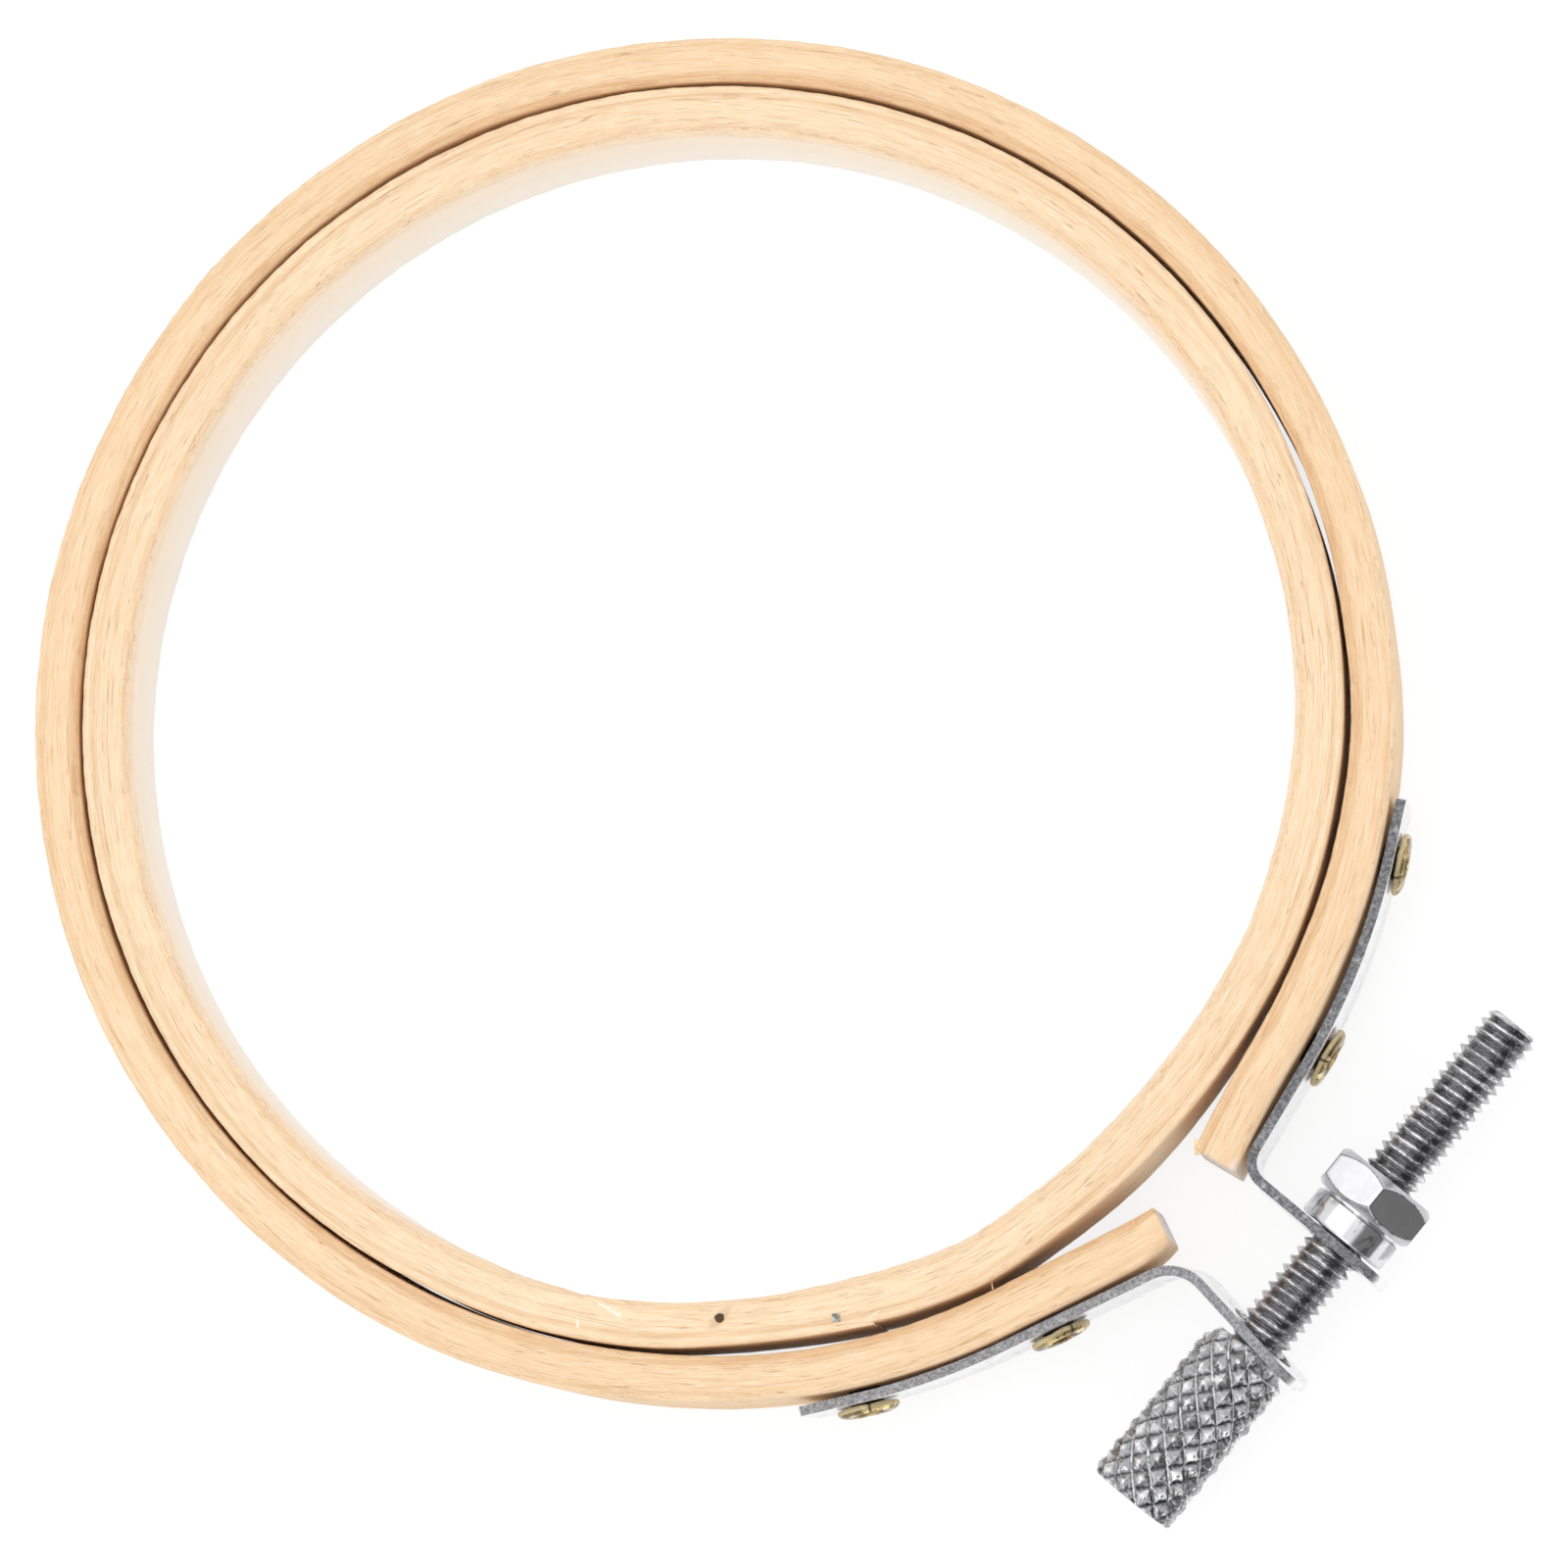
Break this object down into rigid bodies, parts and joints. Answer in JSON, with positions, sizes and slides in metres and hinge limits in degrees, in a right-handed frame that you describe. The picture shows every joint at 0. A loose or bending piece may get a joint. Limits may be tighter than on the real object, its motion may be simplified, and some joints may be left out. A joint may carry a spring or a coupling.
{
  "type": "embroidery hoop",
  "caption": "Round bamboo embroidery hoop with a split outer ring, an inner ring and a riveted steel clamp closed by a knurled thumb screw and a nut.",
  "frame": {"origin": "middle of the opening, on the rings' axis and half way up the rings", "axes": "+Z along the rings' axis, out of the face seen in the picture; the clamp is towards -Y; the thumb screw's knurled head is towards -X and its tip towards +X"},
  "size_m": [0.0862, 0.0992, 0.0084],
  "materials": {
    "outer_bamboo": "sanded bare bamboo",
    "inner_bamboo": "sanded bare bamboo",
    "glue": "set wood glue, brown",
    "bracket_steel": "zinc-plated sheet with grey sheared edges",
    "screw_steel": "rolled steel, satin",
    "nut_nickel": "polished nickel plate",
    "rivet_brass": "pale brass plate",
    "staple_steel": "dull steel wire"
  },
  "bodies": {
    "screw_side": {"outer_ring_screw_side": "outer_bamboo", "bracket_screw_side": "bracket_steel", "rivet_screw_side_near": "rivet_brass", "rivet_screw_side_far": "rivet_brass"},
    "nut_side": {"outer_ring_nut_side": "outer_bamboo", "bracket_nut_side": "bracket_steel", "rivet_nut_side_near": "rivet_brass", "rivet_nut_side_far": "rivet_brass"},
    "inner_ring": {"inner_ring": "inner_bamboo", "scarf_glue": "glue", "inner_ring_staple": "staple_steel"},
    "thumb_screw": {"thumb_screw": "screw_steel"},
    "clamp_nut": {"clamp_nut": "nut_nickel"}
  },
  "joints": [
    {"name": "thumb_screw_turn", "type": "hinge", "parent": "screw_side", "child": "thumb_screw", "pos_m": [-0.0003, -0.05165, 0.0003], "axis": [0.9957, 0.0906, 0.0175], "range_deg": [0, 2160]},
    {"name": "clamp_nut_travel", "type": "slide", "parent": "screw_side", "child": "clamp_nut", "axis": [0.9957, 0.0906, 0.0175], "range_m": [0, 0.0042]},
    {"name": "outer_ring_opening", "type": "hinge", "parent": "screw_side", "child": "nut_side", "pos_m": [0, 0.04167, 0], "axis": [0, 0, 1], "range_deg": [0, 2.59]},
    {"name": "inner_ring_lift", "type": "slide", "parent": "screw_side", "child": "inner_ring", "axis": [0, 0, 1], "range_m": [0, 0.02]}
  ],
  "couplings": [
    {"joint": "thumb_screw_turn", "follows": "clamp_nut_travel", "rad_per_m": 8976},
    {"joint": "outer_ring_opening", "follows": "clamp_nut_travel", "rad_per_m": 10.764}
  ]
}
